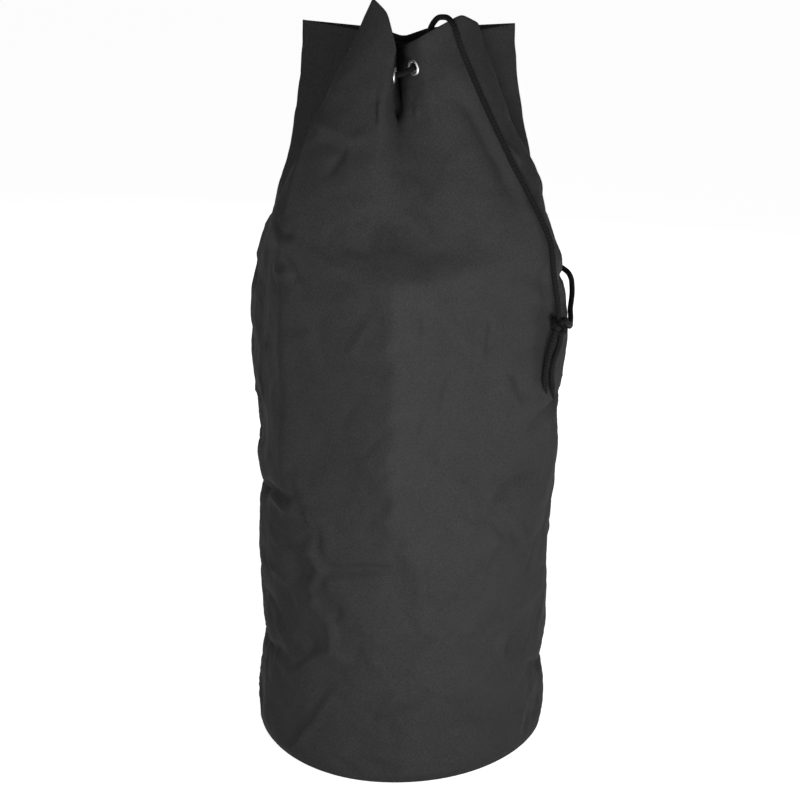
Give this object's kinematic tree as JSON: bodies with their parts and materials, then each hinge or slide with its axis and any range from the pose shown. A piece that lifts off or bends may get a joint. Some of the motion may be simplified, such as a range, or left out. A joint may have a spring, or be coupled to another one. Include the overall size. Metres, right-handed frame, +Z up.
{
  "type": "drawstring duffel bag",
  "caption": "Tall round-bottomed cloth duffel bag, packed and standing, its mouth gathered into pleats by a cord through metal eyelets and tied at one shoulder.",
  "frame": {"origin": "on the floor under the middle of the filled bag", "axes": "+Z up from the base to the mouth, -Y the front with the open front pleat, +X the side with the tied cord end"},
  "size_m": [0.3743, 0.3492, 0.9096],
  "materials": {
    "cloth": "black coated nylon, satin",
    "eyelet_metal": "bright nickel plate",
    "cord": "black braided cord"
  },
  "bodies": {
    "bag": {"bag_wall": "cloth", "mouth_hem": "cloth", "base_panel": "cloth", "base_binding": "cloth", "seam_binding": "cloth", "eyelet_1": "eyelet_metal", "eyelet_2": "eyelet_metal", "eyelet_3": "eyelet_metal", "eyelet_4": "eyelet_metal", "eyelet_5": "eyelet_metal", "eyelet_6": "eyelet_metal", "eyelet_7": "eyelet_metal", "eyelet_8": "eyelet_metal", "eyelet_washer_1": "eyelet_metal", "eyelet_washer_2": "eyelet_metal", "eyelet_washer_3": "eyelet_metal", "eyelet_washer_4": "eyelet_metal", "eyelet_washer_5": "eyelet_metal", "eyelet_washer_6": "eyelet_metal", "eyelet_washer_7": "eyelet_metal", "eyelet_washer_8": "eyelet_metal", "drawcord_run": "cord", "drawcord_front_strand": "cord", "drawcord_side_strand": "cord"},
    "cord_end": {"drawcord_front_drop": "cord", "drawcord_side_drop": "cord", "drawcord_knot": "cord", "drawcord_tail_1": "cord", "drawcord_tail_2": "cord"}
  },
  "joints": [
    {"name": "cord_end_swing", "type": "hinge", "parent": "bag", "child": "cord_end", "pos_m": [0.15706, -0.08492, 0.63653], "axis": [-0.0311, -0.925, 0.3786], "range_deg": [0, 90]}
  ]
}
